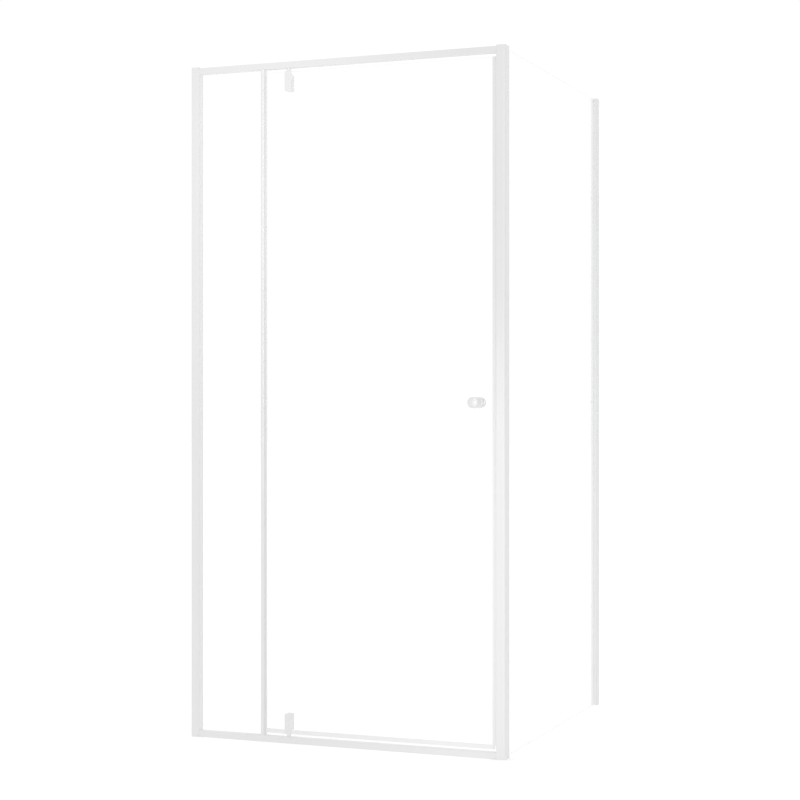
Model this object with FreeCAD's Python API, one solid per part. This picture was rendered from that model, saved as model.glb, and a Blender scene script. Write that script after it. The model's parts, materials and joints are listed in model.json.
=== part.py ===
import FreeCAD, Part
import math
import os

# Pivot shower door with a fixed in-line panel, a corner post and a frameless return side panel.
# Millimetres. X runs right from the left wall, Y runs inward from the front faces and Z runs up from
# the floor. The last section moves every piece so that the origin lies under the middle of the set.

# Overall sizes
overall_width = 912.0
overall_depth = 927.0
overall_height = 1850.0
glass_thickness = 6.0
glass_arris = 0.8
gasket_wall = 1.2
cap_thickness = 2.5
cap_edge_round = 0.8

# Clearances
slide_clearance = 0.25
screw_clearance = 0.05
bush_clearance = 0.06
plug_clearance = 0.2
swing_gap = 0.5
overrun = 1.0

# Wall profiles: a fixed channel, and a jamb that telescopes in it and holds the glass
front_profile_depth = 26.0
side_profile_depth = 19.0
channel_leg = 20.0
channel_wall = 1.5
channel_edge_round = 0.6
jamb_back = 7.0
jamb_reach = 3.0
jamb_wall = 1.5
jamb_pocket_depth = 11.0
fixing_hole_radius = 2.5
fixing_hole_count = 4
fixing_end_margin = 175.0
lock_screw_count = 3
lock_end_margin = 300.0
lock_screw_radius = 1.75
lock_screw_length = 4.5
lock_head_radius = 3.4
lock_head_height = 2.2
screw_cap_wall = 1.1
cap_plug_width = 7.0
cap_plug_length = 8.0

# Rails and their infill strips
rail_height = 17.0
rail_depth = 20.0
rail_wall = 1.5
rail_edge_round = 1.2
groove_floor = 7.0
port_height = 8.0
port_offset = 7.6
rail_screw_radius = 1.45
rail_screw_grip = 14.0
rail_head_radius = 2.7
rail_head_height = 2.0
infill_height = 6.0
infill_wall = 1.4

# Mullion and its seal
mullion_offset = 209.0
mullion_width = 10.5
mullion_depth = 19.0
mullion_front_round = 4.0
mullion_back_round = 1.0
mullion_pocket_depth = 6.2
mullion_port_offset = 6.8
mullion_screw_radius = 1.2
mullion_screw_grip = 12.0
mullion_head_radius = 2.2
mullion_head_height = 1.8
seal_groove_depth = 2.0
seal_groove_width = 3.0
seal_bulb_width = 5.0
seal_bulb_round = 2.0

# Corner post and the magnetic strike on it
post_width = 25.0
post_depth = 34.0
post_wall = 1.6
post_corner_round = 5.0
post_edge_round = 0.8
post_pocket_depth = 12.0
strike_thickness = 3.0
strike_width = 10.0
strike_lip_reach = 3.5
strike_lip_thickness = 1.5
strike_end_gap = 6.0
magnet_skin = 0.5
magnet_width = 6.0

# Setting blocks under the side glass
setting_height = 2.0
setting_length = 40.0
setting_end_margin = 220.0
side_glass_top_gap = 1.0

# Door leaf and its seals
leaf_gap = 9.0
hinge_side_gap = 5.0
closing_gap = 9.0
edge_grip = 4.0
edge_nose_round = 1.0
edge_seal_gap = 0.3
drip_grip = 9.0
drip_blade_thickness = 1.2
drip_fin_reach = 5.5
drip_fin_thickness = 1.0
drip_end_gap = 0.7

# Pivot hinges
pivot_inset = 71.2
hinge_width = 18.0
hinge_length = 54.0
hinge_rail_gap = 8.5
hinge_front_depth = 6.1
hinge_plate_depth = 11.8
hinge_plate_setback = 8.5
hinge_corner_round = 3.0
hinge_edge_round = 1.2
hinge_pad_thickness = 0.5
hinge_pad_margin = 0.3
tongue_width = 15.4
tongue_length = 38.0
notch_clearance = 0.5
neck_collar = 3.0
neck_base_radius = 7.5
neck_tip_radius = 4.6
pin_radius = 3.0
pin_seat_depth = 22.0
pin_end_gap = 0.3
bush_length = 20.0
bush_floor = 1.0
hinge_screw_radius = 2.0
hinge_screw_upper = 27.0
hinge_screw_lower = 46.5
hinge_screw_blind = 2.0
hinge_head_radius = 3.5
hinge_head_height = 3.5
hinge_glass_hole_radius = 4.0

# Knob
knob_inset = 48.8
knob_radius = 14.5
knob_length = 31.4
knob_crown_radius = 80.0
knob_rim_round = 1.2
knob_foot_round = 1.2
knob_stud_radius = 3.0
knob_stud_grip = 15.0
knob_washer_thickness = 0.6
knob_washer_radius = 12.0
knob_glass_hole_radius = 6.0

# Planes and places that follow from the sizes
profile_top = overall_height - cap_thickness
mid_height = profile_top / 2
door_plane = front_profile_depth / 2
half_glass = glass_thickness / 2
half_pocket = half_glass + gasket_wall
jamb_face = channel_leg + jamb_reach
jamb_inset = channel_wall + slide_clearance
rail_front = door_plane - rail_depth / 2
rail_back = door_plane + rail_depth / 2
rail_under = profile_top - rail_height
groove_depth = rail_height - groove_floor
port_places = (door_plane - port_offset, door_plane + port_offset)
post_face = overall_width - post_width
side_plane = overall_width - post_width / 2
post_pocket_floor = post_depth - post_pocket_depth
mullion_right = mullion_offset + mullion_width
mullion_middle = mullion_offset + mullion_width / 2
inline_left = jamb_face - jamb_pocket_depth + gasket_wall
inline_right = mullion_offset + mullion_pocket_depth - gasket_wall
inline_bottom = groove_floor + gasket_wall
inline_top = profile_top - inline_bottom
leaf_left = mullion_right + hinge_side_gap
leaf_right = post_face - closing_gap
leaf_bottom = rail_height + leaf_gap
leaf_top = rail_under - leaf_gap
pivot_x = mullion_right + pivot_inset
bush_bore_depth = groove_depth - bush_floor
pin_reach = bush_bore_depth - pin_end_gap
hinge_top = rail_under - hinge_rail_gap
hinge_low = hinge_top - hinge_length
hinge_screw_heights = (hinge_top - hinge_screw_upper, hinge_top - hinge_screw_lower)
body_back = door_plane - half_glass - hinge_pad_thickness
body_front = body_back - hinge_front_depth
plate_front = door_plane + half_glass + hinge_pad_thickness
plate_back = plate_front + hinge_plate_depth
knob_x = leaf_right - knob_inset
knob_base = door_plane - half_glass - knob_washer_thickness
knob_front = knob_base - knob_length

x_axis = FreeCAD.Vector(1, 0, 0)
y_axis = FreeCAD.Vector(0, 1, 0)
z_axis = FreeCAD.Vector(0, 0, 1)
ground = FreeCAD.Vector(0, 0, 0)


# Shape helpers
def block(x_range, y_range, z_range):
    """A box between the low and high value on each axis."""
    corner = FreeCAD.Vector(x_range[0], y_range[0], z_range[0])
    sizes = [high - low for low, high in (x_range, y_range, z_range)]
    return Part.makeBox(*sizes, corner)


def rod(start, axis, radius, length):
    """A cylinder from a start point along an axis."""
    return Part.makeCylinder(radius, length, FreeCAD.Vector(*start), axis)


def on_plan(u, v):
    """Section points seen from above, for uprights."""
    return FreeCAD.Vector(u, v, 0)


def on_end(u, v):
    """Section points seen along X, for rails and bottom seals."""
    return FreeCAD.Vector(0, u, v)


def on_front(u, v):
    """Section points seen along Y, for hinge plates."""
    return FreeCAD.Vector(u, 0, v)


def rounded_face(corners, place):
    """A flat face through corners (u, v) or (u, v, radius), rounded where a radius is given."""
    points = [place(corner[0], corner[1]) for corner in corners]
    radii = [corner[2] if len(corner) > 2 else 0 for corner in corners]
    count = len(points)
    turns = []
    edges = []
    for index, point in enumerate(points):
        back = (points[index - 1] - point).normalize()
        ahead = (points[(index + 1) % count] - point).normalize()
        half_angle = back.getAngle(ahead) / 2
        reach = radii[index] / math.tan(half_angle)
        bisector = (back + ahead).normalize() if radii[index] else ground
        middle = point + bisector * (radii[index] / math.sin(half_angle) - radii[index])
        turns.append((point + back * reach, middle, point + ahead * reach))
    for index, (start, middle, end) in enumerate(turns):
        if radii[index]:
            edges.append(Part.Arc(start, middle, end).toShape())
        following = turns[(index + 1) % count][0]
        edges.append(Part.makeLine(end, following))
    return Part.Face(Part.Wire(edges))


def bar(corners, place, axis, low, high):
    """A section pushed along an axis from low to high."""
    face = rounded_face(corners, place)
    face.translate(axis * low)
    return face.extrude(axis * (high - low))


def cut_all(shape, tools):
    """The shape with every tool taken away."""
    return shape.cut(tools)


def other_end(shape):
    """The same piece at the other end of the door, mirrored about the door's mid height."""
    return shape.mirror(FreeCAD.Vector(0, 0, mid_height), z_axis)


def group(shapes):
    """Separate solids kept together in one node."""
    return Part.makeCompound(shapes)


def spread(low, high, count):
    """Evenly spaced places from low to high."""
    return [low + (high - low) * index / (count - 1) for index in range(count)]


def glass_pane(x_range, y_range, z_range):
    """A toughened pane with ground edges."""
    pane = block(x_range, y_range, z_range)
    return pane.makeChamfer(glass_arris, pane.Edges)


# Wall profiles, made at the front wall: u runs from the wall and v runs across the profile
fixing_heights = spread(fixing_end_margin, profile_top - fixing_end_margin, fixing_hole_count)
lock_heights = spread(lock_end_margin, profile_top - lock_end_margin, lock_screw_count)
lock_u = (jamb_back + channel_leg) / 2


def wall_channel(depth):
    """The U profile that is screwed to the wall."""
    leg, wall = channel_leg, channel_wall
    corners = [(0, 0), (leg, 0, channel_edge_round), (leg, wall), (wall, wall)]
    corners += [(wall, depth - wall), (leg, depth - wall), (leg, depth, channel_edge_round), (0, depth)]
    channel = bar(corners, on_plan, z_axis, 0, profile_top)
    tools = []
    for height in fixing_heights:
        start = (-overrun, depth / 2, height)
        tools.append(rod(start, x_axis, fixing_hole_radius, wall + 2 * overrun))
    for height in lock_heights:
        start = (lock_u, depth - wall - overrun, height)
        tools.append(rod(start, y_axis, lock_screw_radius + screw_clearance, wall + 2 * overrun))
    return cut_all(channel, tools)


def wall_jamb(depth):
    """The upright that slides in the channel, with a pocket for the glass and its gasket."""
    low, high = jamb_inset, depth - jamb_inset
    pocket_low, pocket_high = depth / 2 - half_pocket, depth / 2 + half_pocket
    pocket_floor = jamb_face - jamb_pocket_depth
    corners = [(jamb_back, low), (jamb_face, low, channel_edge_round), (jamb_face, pocket_low)]
    corners += [(pocket_floor, pocket_low), (pocket_floor, pocket_high), (jamb_face, pocket_high)]
    corners += [(jamb_face, high, channel_edge_round), (jamb_back, high)]
    jamb = bar(corners, on_plan, z_axis, 0, profile_top)
    tools = []
    for height in lock_heights:
        start = (lock_u, depth - lock_screw_length, height)
        tools.append(rod(start, y_axis, lock_screw_radius + screw_clearance, lock_screw_length))
    return cut_all(jamb, tools)


def front_jamb():
    """The front jamb is wide enough for two hollow chambers, and is drilled for the rail screws."""
    jamb = wall_jamb(front_profile_depth)
    x_range = (jamb_back + jamb_wall, jamb_face - jamb_wall)
    height = (-overrun, profile_top + overrun)
    front_chamber = (jamb_inset + jamb_wall, door_plane - half_pocket - jamb_wall)
    back_chamber = (door_plane + half_pocket + jamb_wall, front_profile_depth - jamb_inset - jamb_wall)
    tools = [block(x_range, front_chamber, height), block(x_range, back_chamber, height)]
    for place in port_places:
        start = (jamb_back - overrun, place, port_height)
        length = jamb_face - jamb_back + 2 * overrun
        drill = rod(start, x_axis, rail_screw_radius + screw_clearance, length)
        tools += [drill, other_end(drill)]
    return cut_all(jamb, tools)


def wall_cap(depth):
    """The end cap over channel and jamb, with a plug that drops between them."""
    plate = block((0, jamb_face), (0, depth), (profile_top, overall_height))
    rim = [edge for edge in plate.Edges if edge.BoundBox.ZMin > (profile_top + overall_height) / 2]
    plate = plate.makeFillet(cap_edge_round, rim)
    plug_x = (channel_wall + plug_clearance, jamb_back - plug_clearance)
    plug_y = (depth / 2 - cap_plug_width / 2, depth / 2 + cap_plug_width / 2)
    return plate.fuse(block(plug_x, plug_y, (profile_top - cap_plug_length, profile_top)))


def lock_screws(depth):
    """Screws through the channel's inner leg into the jamb."""
    screws = []
    for height in lock_heights:
        shank = rod((lock_u, depth - lock_screw_length, height), y_axis, lock_screw_radius, lock_screw_length)
        head = rod((lock_u, depth, height), y_axis, lock_head_radius, lock_head_height)
        screws.append(shank.fuse(head))
    return group(screws)


def screw_caps(depth):
    """Press-on covers over the lock screws' heads."""
    caps = []
    outer_radius = lock_head_radius + screw_clearance + screw_cap_wall
    inner_height = lock_head_height + screw_clearance
    for height in lock_heights:
        start = (lock_u, depth, height)
        cover = rod(start, y_axis, outer_radius, inner_height + screw_cap_wall)
        rim = [edge for edge in cover.Edges if edge.BoundBox.YMin > depth + inner_height]
        cover = cover.makeFillet(screw_cap_wall / 2, rim)
        caps.append(cover.cut(rod(start, y_axis, lock_head_radius + screw_clearance, inner_height)))
    return group(caps)


def at_side_wall(shape):
    """A wall profile piece turned from the left wall to the back wall, inner face still inside."""
    turned = shape.mirror(ground, x_axis + y_axis)
    turned.translate(FreeCAD.Vector(side_plane + side_profile_depth / 2, overall_depth, 0))
    return turned


# Rails, made at the floor and mirrored to the top
def bottom_rail():
    """The sill: a hollow section with a groove for glass, bushes and infill."""
    groove_low, groove_high = door_plane - half_pocket, door_plane + half_pocket
    corners = [(rail_front, 0), (rail_back, 0), (rail_back, rail_height, rail_edge_round)]
    corners += [(groove_high, rail_height), (groove_high, groove_floor), (groove_low, groove_floor)]
    corners += [(groove_low, rail_height), (rail_front, rail_height, rail_edge_round)]
    rail = bar(corners, on_end, x_axis, jamb_face, post_face)
    whole_length = post_face - jamb_face + 2 * overrun
    through = (jamb_face - overrun, post_face + overrun)
    tools = [block(through, (groove_low, groove_high), (rail_wall, groove_floor - rail_wall))]
    for place in port_places:
        start = (jamb_face - overrun, place, port_height)
        tools.append(rod(start, x_axis, rail_screw_radius + screw_clearance, whole_length))
    for place in (door_plane - mullion_port_offset, door_plane + mullion_port_offset):
        start = (mullion_middle, place, -overrun)
        tools.append(rod(start, z_axis, mullion_screw_radius + screw_clearance, rail_height + 2 * overrun))
        recess = mullion_head_height + overrun
        tools.append(rod(start, z_axis, mullion_head_radius + screw_clearance, recess))
    return cut_all(rail, tools)


def bottom_infill():
    """Snap-in strips that close the groove over the door opening, either side of the bush."""
    low, high = door_plane - half_pocket, door_plane + half_pocket
    foot, top = rail_height - infill_height, rail_height
    corners = [(low, foot), (low + infill_wall, foot), (low + infill_wall, top - infill_wall)]
    corners += [(high - infill_wall, top - infill_wall), (high - infill_wall, foot), (high, foot)]
    corners += [(high, top), (low, top)]
    left = bar(corners, on_end, x_axis, mullion_right, pivot_x - bush_length / 2)
    right = bar(corners, on_end, x_axis, pivot_x + bush_length / 2, post_face)
    return group([left, right])


def bottom_bush():
    """The nylon block in the groove that the pivot pin turns in."""
    x_range = (pivot_x - bush_length / 2, pivot_x + bush_length / 2)
    bush = block(x_range, (door_plane - half_pocket, door_plane + half_pocket), (groove_floor, rail_height))
    start = (pivot_x, door_plane, groove_floor + bush_floor)
    return bush.cut(rod(start, z_axis, pin_radius + bush_clearance, bush_bore_depth + overrun))


def rail_screws_at_jamb():
    """Screws from behind the jamb into the rails' ports."""
    screws = []
    for place in port_places:
        head_start = (jamb_back - rail_head_height, place, port_height)
        head = rod(head_start, x_axis, rail_head_radius, rail_head_height)
        length = jamb_face - jamb_back + rail_screw_grip
        screw = head.fuse(rod((jamb_back, place, port_height), x_axis, rail_screw_radius, length))
        screws += [screw, other_end(screw)]
    return group(screws)


def rail_screws_at_post():
    """Screws from inside the post into the rails' ports."""
    screws = []
    seat = post_face + post_wall
    for place in port_places:
        head = rod((seat, place, port_height), x_axis, rail_head_radius, rail_head_height)
        length = post_wall + rail_screw_grip
        screw = head.fuse(rod((seat, place, port_height), -x_axis, rail_screw_radius, length))
        screws += [screw, other_end(screw)]
    return group(screws)


# In-line panel and mullion
def channel_gasket(length_range, width_middle, place, axis, low, high):
    """A U gasket: closed at the first end of length_range and open at the second."""
    closed, opening = length_range
    web = math.copysign(gasket_wall, opening - closed)
    near, far = width_middle - half_pocket, width_middle + half_pocket
    slot_near, slot_far = width_middle - half_glass, width_middle + half_glass
    corners = [(closed, near), (opening, near), (opening, slot_near), (closed + web, slot_near)]
    corners += [(closed + web, slot_far), (opening, slot_far), (opening, far), (closed, far)]
    return bar(corners, place, axis, low, high)


def on_end_upright(u, v):
    """Section points for a gasket along X whose opening runs up Z."""
    return on_end(v, u)


def across_depth(u, v):
    """Section points for an upright gasket whose opening runs along Y."""
    return on_plan(v, u)


def inline_bottom_gasket():
    """The gasket in the sill's groove that the in-line glass stands in."""
    opening = (groove_floor, rail_height)
    return channel_gasket(opening, door_plane, on_end_upright, x_axis, jamb_face, inline_right)


def mullion():
    """The slim upright between the fixed glass and the leaf, with a rounded front."""
    front, back = door_plane - mullion_depth / 2, door_plane + mullion_depth / 2
    left, right = mullion_offset, mullion_right
    pocket_floor = left + mullion_pocket_depth
    seal_floor = right - seal_groove_depth
    seal_low, seal_high = door_plane - seal_groove_width / 2, door_plane + seal_groove_width / 2
    pocket_low, pocket_high = door_plane - half_pocket, door_plane + half_pocket
    corners = [(left, front, mullion_front_round), (right, front, mullion_front_round)]
    corners += [(right, seal_low), (seal_floor, seal_low), (seal_floor, seal_high), (right, seal_high)]
    corners += [(right, back, mullion_back_round), (left, back, mullion_back_round)]
    corners += [(left, pocket_high), (pocket_floor, pocket_high)]
    corners += [(pocket_floor, pocket_low), (left, pocket_low)]
    upright = bar(corners, on_plan, z_axis, rail_height, rail_under)
    tools = []
    for place in (door_plane - mullion_port_offset, door_plane + mullion_port_offset):
        start = (mullion_middle, place, rail_height - overrun)
        length = rail_under - rail_height + 2 * overrun
        tools.append(rod(start, z_axis, mullion_screw_radius + screw_clearance, length))
    return cut_all(upright, tools)


def mullion_screws():
    """Screws through each rail into the mullion's ports."""
    screws = []
    for place in (door_plane - mullion_port_offset, door_plane + mullion_port_offset):
        start = (mullion_middle, place, 0)
        head = rod(start, z_axis, mullion_head_radius, mullion_head_height)
        shank = rod(start, z_axis, mullion_screw_radius, rail_height + mullion_screw_grip)
        screw = head.fuse(shank)
        screws += [screw, other_end(screw)]
    return group(screws)


def mullion_seal():
    """The clear strip that fills the gap at the leaf's short side."""
    root, tip = mullion_right - seal_groove_depth, leaf_left - swing_gap
    foot_low, foot_high = door_plane - seal_groove_width / 2, door_plane + seal_groove_width / 2
    bulb_low, bulb_high = door_plane - seal_bulb_width / 2, door_plane + seal_bulb_width / 2
    corners = [(root, foot_low), (mullion_right, foot_low), (mullion_right, bulb_low)]
    corners += [(tip, bulb_low, seal_bulb_round), (tip, bulb_high, seal_bulb_round)]
    corners += [(mullion_right, bulb_high), (mullion_right, foot_high), (root, foot_high)]
    return bar(corners, on_plan, z_axis, rail_height, rail_under)


# Corner post and strike
def corner_post():
    """The hollow corner upright: rails meet its left face, the side glass sits in its back pocket."""
    pocket_low, pocket_high = side_plane - half_pocket, side_plane + half_pocket
    corners = [(post_face, 0, post_edge_round), (overall_width, 0, post_corner_round)]
    corners += [(overall_width, post_depth, post_edge_round), (pocket_high, post_depth)]
    corners += [(pocket_high, post_pocket_floor), (pocket_low, post_pocket_floor)]
    corners += [(pocket_low, post_depth), (post_face, post_depth, post_edge_round)]
    post = bar(corners, on_plan, z_axis, 0, profile_top)
    left, right = post_face + post_wall, overall_width - post_wall
    back, web = post_depth - post_wall, post_pocket_floor - post_wall
    hollow = [(left, post_wall), (right, post_wall, post_corner_round - post_wall), (right, back)]
    hollow += [(pocket_high + post_wall, back), (pocket_high + post_wall, web)]
    hollow += [(pocket_low - post_wall, web), (pocket_low - post_wall, back), (left, back)]
    tools = [bar(hollow, on_plan, z_axis, -overrun, profile_top + overrun)]
    for place in port_places:
        start = (post_face - overrun, place, port_height)
        drill = rod(start, x_axis, rail_screw_radius + screw_clearance, post_wall + 2 * overrun)
        tools += [drill, other_end(drill)]
    return cut_all(post, tools)


def post_cap():
    """The end cap of the post, with a plug in the post's hollow."""
    corners = [(post_face, 0, post_edge_round), (overall_width, 0, post_corner_round)]
    corners += [(overall_width, post_depth, post_edge_round), (post_face, post_depth, post_edge_round)]
    plate = bar(corners, on_plan, z_axis, profile_top, overall_height)
    rim = [edge for edge in plate.Edges if edge.BoundBox.ZMin > (profile_top + overall_height) / 2]
    plate = plate.makeFillet(cap_edge_round / 2, rim)
    inset = post_wall + plug_clearance
    plug_x = (post_face + inset, overall_width - post_corner_round)
    plug_y = (inset, post_pocket_floor - post_wall - plug_clearance)
    plug = block(plug_x, plug_y, (profile_top - cap_plug_length, profile_top))
    reliefs = []
    for place in port_places:
        start = (post_face, place, profile_top - port_height)
        reach = post_wall + rail_head_height + plug_clearance
        reliefs.append(rod(start, x_axis, rail_head_radius + plug_clearance, reach))
    return plate.fuse(cut_all(plug, reliefs))


strike_face = post_face - strike_thickness
strike_lip_low = door_plane + half_pocket + swing_gap
strike_range = (rail_height + strike_end_gap, rail_under - strike_end_gap)


def post_strike_seal():
    """The strike on the post: a strip that houses a magnet, with a lip that stops the leaf."""
    lip_tip = strike_face - strike_lip_reach
    lip_high = strike_lip_low + strike_lip_thickness
    low = door_plane - strike_width / 2
    corners = [(post_face, low), (strike_face, low), (strike_face, strike_lip_low)]
    corners += [(lip_tip, strike_lip_low), (lip_tip, lip_high), (post_face, lip_high)]
    strip = bar(corners, on_plan, z_axis, *strike_range)
    return strip.cut(strike_magnet())


def strike_magnet():
    """The magnet strip inside the strike."""
    x_range = (strike_face + magnet_skin, post_face - magnet_skin)
    y_range = (door_plane - magnet_width / 2, door_plane + magnet_width / 2)
    return block(x_range, y_range, strike_range)


# Return side panel
side_jamb_face = overall_depth - jamb_face
side_glass_front = post_pocket_floor + gasket_wall
side_glass_back = side_jamb_face + jamb_pocket_depth - gasket_wall


def side_glass():
    """The return pane, from the post's pocket to the back wall profile."""
    x_range = (side_plane - half_glass, side_plane + half_glass)
    z_range = (setting_height, profile_top - side_glass_top_gap)
    return glass_pane(x_range, (side_glass_front, side_glass_back), z_range)


def side_post_gasket():
    """The gasket between the side glass and the post."""
    opening = (post_pocket_floor, post_depth)
    return channel_gasket(opening, side_plane, across_depth, z_axis, 0, profile_top)


def side_wall_gasket():
    """The gasket between the side glass and the back wall profile."""
    opening = (side_jamb_face + jamb_pocket_depth, side_jamb_face)
    return channel_gasket(opening, side_plane, across_depth, z_axis, 0, profile_top)


def side_setting_blocks():
    """Packers that the side glass stands on."""
    x_range = (side_plane - half_glass, side_plane + half_glass)
    first = post_depth + setting_end_margin
    last = side_jamb_face - setting_end_margin
    blocks = []
    for place in (first, last):
        y_range = (place - setting_length / 2, place + setting_length / 2)
        blocks.append(block(x_range, y_range, (0, setting_height)))
    return group(blocks)


# Door leaf
def door_glass():
    """The leaf, notched and drilled for the hinges and drilled for the knob."""
    y_range = (door_plane - half_glass, door_plane + half_glass)
    pane = glass_pane((leaf_left, leaf_right), y_range, (leaf_bottom, leaf_top))
    through = (y_range[0] - overrun, y_range[1] + overrun)
    notch_half = tongue_width / 2 + notch_clearance
    notch_low = hinge_top - tongue_length - notch_clearance
    notch = block((pivot_x - notch_half, pivot_x + notch_half), through, (notch_low, leaf_top + overrun))
    drill_length = through[1] - through[0]
    bolt = (pivot_x, through[0], hinge_screw_heights[1])
    hole = rod(bolt, y_axis, hinge_glass_hole_radius, drill_length)
    knob_hole = rod((knob_x, through[0], mid_height), y_axis, knob_glass_hole_radius, drill_length)
    return cut_all(pane, [notch, other_end(notch), hole, other_end(hole), knob_hole])


edge_grip_left = leaf_right - edge_grip
edge_nose = strike_face - swing_gap
edge_web = leaf_right + gasket_wall
drip_top = leaf_bottom + drip_grip
drip_web = leaf_bottom - gasket_wall


def door_edge_seal():
    """The closing-edge seal: it grips the glass and houses a magnet."""
    low, high = door_plane - half_pocket, door_plane + half_pocket
    slot_low, slot_high = door_plane - half_glass, door_plane + half_glass
    corners = [(edge_grip_left, low), (edge_nose, low, edge_nose_round), (edge_nose, high, edge_nose_round)]
    corners += [(edge_grip_left, high), (edge_grip_left, slot_high), (leaf_right, slot_high)]
    corners += [(leaf_right, slot_low), (edge_grip_left, slot_low)]
    seal = bar(corners, on_plan, z_axis, drip_top + edge_seal_gap, leaf_top)
    return seal.cut(door_edge_magnet())


def door_edge_magnet():
    """The magnet strip inside the closing-edge seal."""
    x_range = (edge_web, edge_nose - magnet_skin)
    y_range = (door_plane - magnet_width / 2, door_plane + magnet_width / 2)
    return block(x_range, y_range, (drip_top + edge_seal_gap, leaf_top))


def door_drip_seal():
    """The bottom seal: it grips the glass, with an upright blade and a drip fin on the inside."""
    low, high = door_plane - half_pocket, door_plane + half_pocket
    slot_low, slot_high = door_plane - half_glass, door_plane + half_glass
    blade_low = door_plane - drip_blade_thickness / 2
    blade_high = door_plane + drip_blade_thickness / 2
    foot = rail_height + swing_gap
    fin_tip = high + drip_fin_reach
    corners = [(low, drip_top), (low, drip_web), (blade_low, drip_web), (blade_low, foot)]
    corners += [(blade_high, foot), (blade_high, drip_web), (high - drip_fin_thickness, drip_web)]
    corners += [(fin_tip - drip_fin_thickness, foot), (fin_tip, foot), (high, drip_web), (high, drip_top)]
    corners += [(slot_high, drip_top), (slot_high, leaf_bottom)]
    corners += [(slot_low, leaf_bottom), (slot_low, drip_top)]
    clear = hinge_width / 2 + drip_end_gap
    short_side = bar(corners, on_end, x_axis, leaf_left, pivot_x - clear)
    long_side = bar(corners, on_end, x_axis, pivot_x + clear, leaf_right)
    return group([short_side, long_side])


# Pivot hinges, made at the top and mirrored to the bottom
def hinge_plate_corners(high, low):
    """A hinge plate's outline seen from the front."""
    left, right = pivot_x - hinge_width / 2, pivot_x + hinge_width / 2
    outline = [(left, low), (right, low), (right, high), (left, high)]
    return [(u, v, hinge_corner_round) for u, v in outline]


def eased_plate(corners, low, high, face):
    """A plate pushed along Y, with the edge round one of its faces eased."""
    plate = bar(corners, on_front, y_axis, low, high)
    middle = (low + high) / 2
    sign = 1 if face > middle else -1
    rim = [edge for edge in plate.Edges if sign * (edge.CenterOfMass.y - middle) > (high - low) / 4]
    return plate.makeFillet(hinge_edge_round, rim)


def hinge_tongue():
    """The part of the hinge body that fills the notch in the glass."""
    left, right = pivot_x - tongue_width / 2, pivot_x + tongue_width / 2
    low = hinge_top - tongue_length
    corner_round = hinge_corner_round - (hinge_width - tongue_width) / 2
    corners = [(left, low), (right, low), (right, hinge_top, corner_round), (left, hinge_top, corner_round)]
    return bar(corners, on_front, y_axis, body_back, plate_front)


def hinge_body():
    """The outer half of the clamp, with the tongue and the tapered neck that hold the pin."""
    plate = eased_plate(hinge_plate_corners(hinge_top, hinge_low), body_front, body_back, body_front)
    neck_root = FreeCAD.Vector(pivot_x, door_plane, hinge_top)
    neck = Part.makeCone(neck_base_radius, neck_tip_radius, hinge_rail_gap - swing_gap, neck_root, z_axis)
    collar = rod(neck_root, -z_axis, neck_base_radius, neck_collar)
    body = plate.fuse([hinge_tongue(), collar, neck]).removeSplitter()
    bore_length = pin_seat_depth + hinge_rail_gap
    tools = [rod((pivot_x, door_plane, hinge_top - pin_seat_depth), z_axis, pin_radius, bore_length)]
    for height in hinge_screw_heights:
        start = (pivot_x, body_front + hinge_screw_blind, height)
        length = plate_front - body_front
        tools.append(rod(start, y_axis, hinge_screw_radius + screw_clearance, length))
    return cut_all(body, tools)


def hinge_plate():
    """The inner half of the clamp, drilled and counterbored for its screws."""
    corners = hinge_plate_corners(hinge_top - hinge_plate_setback, hinge_low)
    plate = eased_plate(corners, plate_front, plate_back, plate_back)
    tools = []
    for height in hinge_screw_heights:
        start = (pivot_x, plate_front - overrun, height)
        length = hinge_plate_depth + 2 * overrun
        tools.append(rod(start, y_axis, hinge_screw_radius + screw_clearance, length))
        seat = (pivot_x, plate_back - hinge_head_height, height)
        counterbore = hinge_head_height + overrun
        tools.append(rod(seat, y_axis, hinge_head_radius + screw_clearance, counterbore))
    return cut_all(plate, tools)


def hinge_gaskets():
    """Thin pads between the glass and the two halves of the clamp."""
    half_width = hinge_width / 2 - hinge_pad_margin
    x_range = (pivot_x - half_width, pivot_x + half_width)
    low = hinge_low + hinge_pad_margin
    glass_front, glass_back = door_plane - half_glass, door_plane + half_glass
    front_pad = block(x_range, (body_back, glass_front), (low, leaf_top))
    back_top = hinge_top - hinge_plate_setback - hinge_pad_margin
    back_pad = block(x_range, (glass_back, plate_front), (low, back_top))
    tools = [hinge_tongue()]
    for height in hinge_screw_heights:
        start = (pivot_x, body_back - overrun, height)
        length = plate_front - body_back + 2 * overrun
        tools.append(rod(start, y_axis, hinge_glass_hole_radius, length))
    return group([cut_all(front_pad, tools), cut_all(back_pad, tools)])


def hinge_screws():
    """Socket screws that clamp the two halves of a hinge."""
    screws = []
    for height in hinge_screw_heights:
        head_start = plate_back - hinge_head_height
        head = rod((pivot_x, head_start, height), y_axis, hinge_head_radius, hinge_head_height)
        socket_depth = hinge_head_height / 2
        socket = rod((pivot_x, plate_back - socket_depth, height), y_axis, hinge_screw_radius, socket_depth)
        tip = body_front + hinge_screw_blind
        shank = rod((pivot_x, tip, height), y_axis, hinge_screw_radius, head_start - tip)
        screws.append(head.fuse(shank).cut(socket))
    return group(screws)


def pivot_pin():
    """The steel pin, seated in the hinge body and turning in the bush."""
    length = pin_seat_depth + hinge_rail_gap + pin_reach
    return rod((pivot_x, door_plane, hinge_top - pin_seat_depth), z_axis, pin_radius, length)


# Knob
def knob_spoke(turn):
    """A direction in the knob's half section, turned from straight out of the door towards its side."""
    return FreeCAD.Vector(math.sin(turn), -math.cos(turn), 0)


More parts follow.
